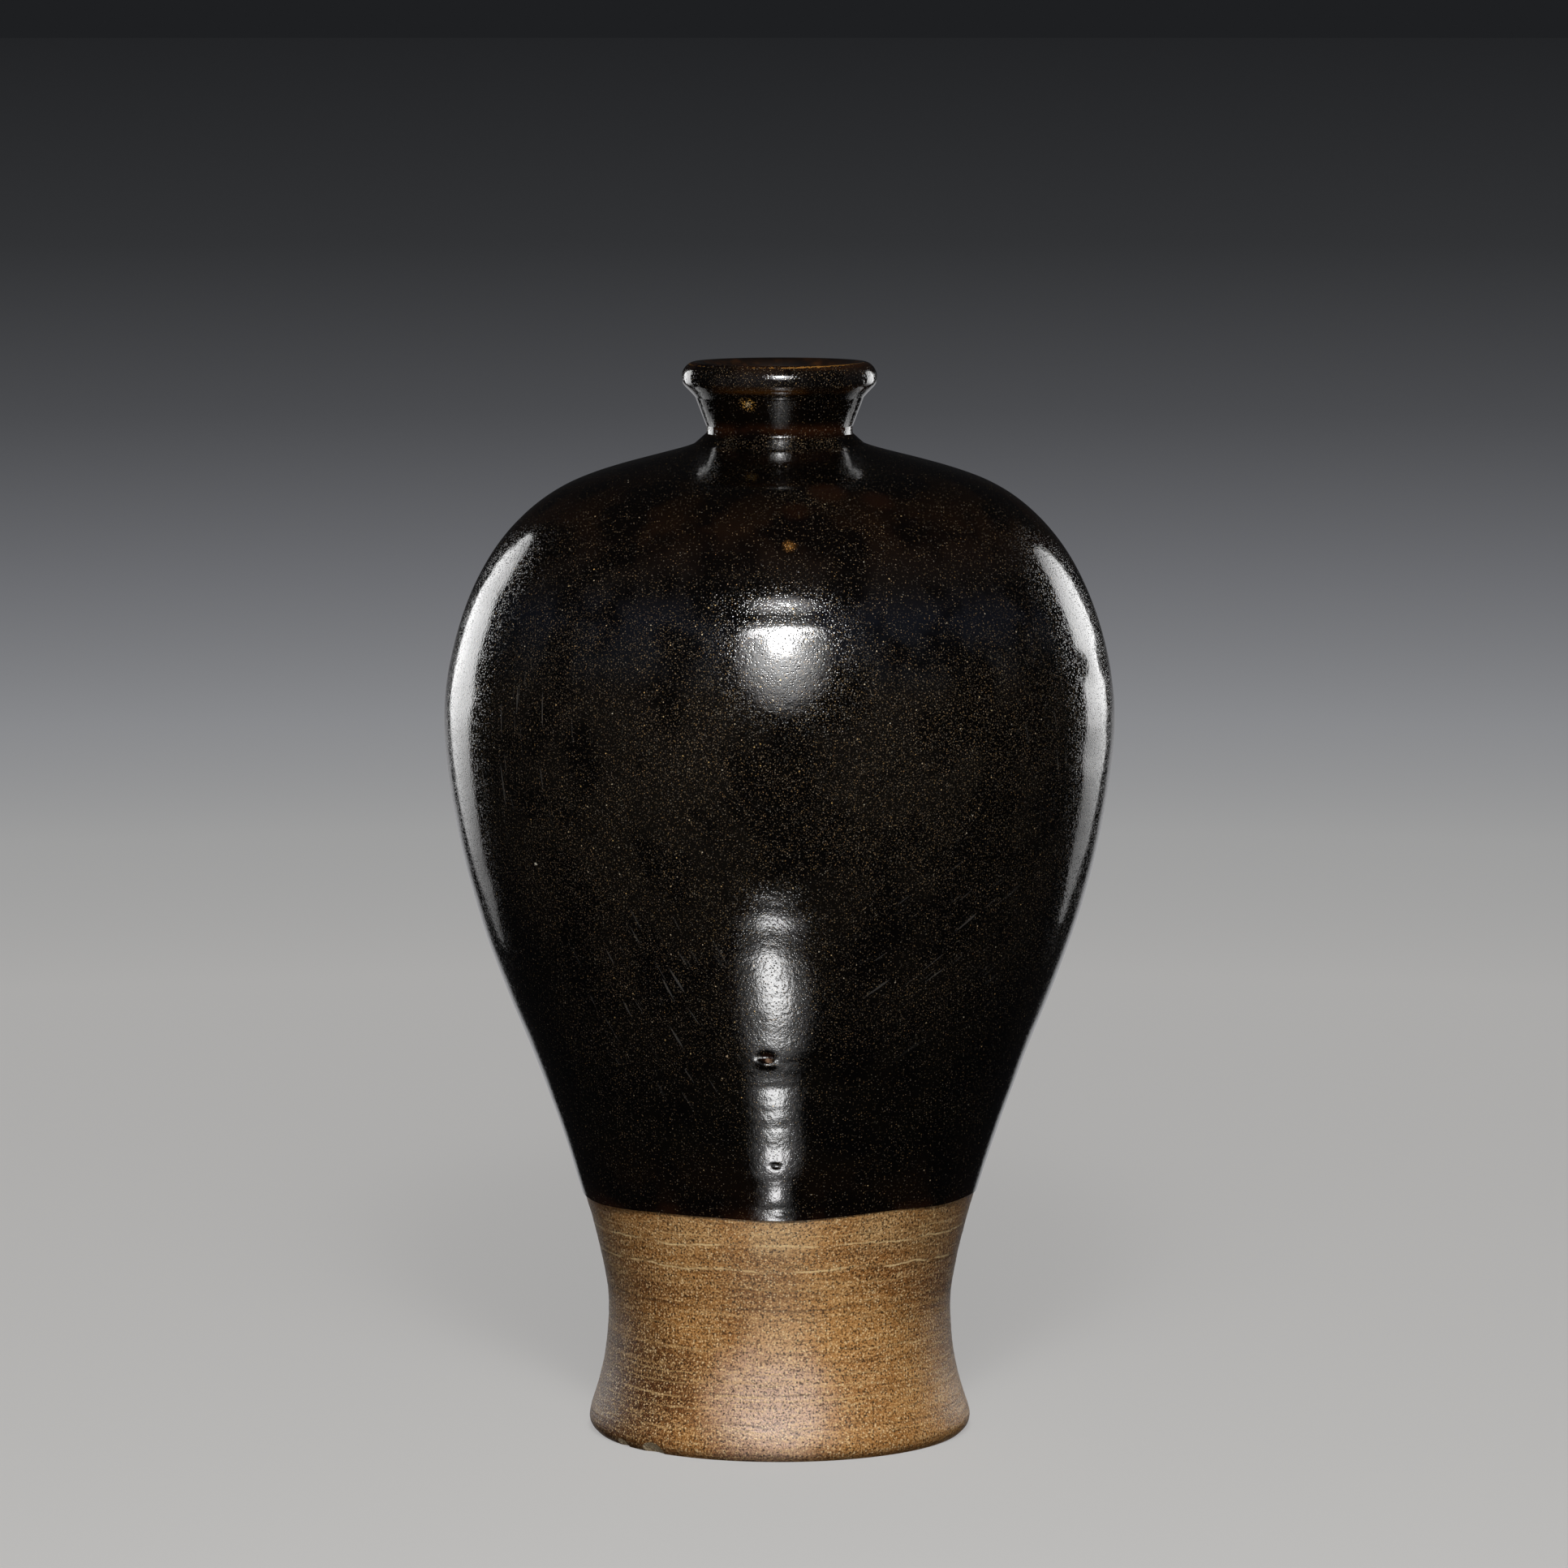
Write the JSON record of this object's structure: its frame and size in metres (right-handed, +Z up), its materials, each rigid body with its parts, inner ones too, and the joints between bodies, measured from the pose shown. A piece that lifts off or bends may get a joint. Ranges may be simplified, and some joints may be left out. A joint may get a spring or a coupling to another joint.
{
  "type": "meiping vase",
  "caption": "Tall high-shouldered stoneware vase with a narrow rolled-lip neck, black glaze to above the foot and a bare flared clay foot.",
  "frame": {"origin": "centre of the standing face of the foot, on the axis of the wheel", "axes": "+Z up along the axis of the wheel; -Y is the side that the picture shows; +X is to its right"},
  "size_m": [0.2056, 0.2056, 0.33],
  "materials": {
    "stoneware": "bare gritty fired clay, matt",
    "joint_slip": "fine fired clay, matt",
    "black_glaze": "glossy black-brown glaze with fine golden specks",
    "brown_lining": "thin glossy brown glaze"
  },
  "bodies": {
    "root": {"foot_section": "stoneware", "belly_joint_slip": "joint_slip", "shoulder_section": "stoneware", "neck_joint_slip": "joint_slip", "neck_section": "stoneware", "outer_glaze": "black_glaze", "inner_glaze": "brown_lining"}
  },
  "joints": []
}
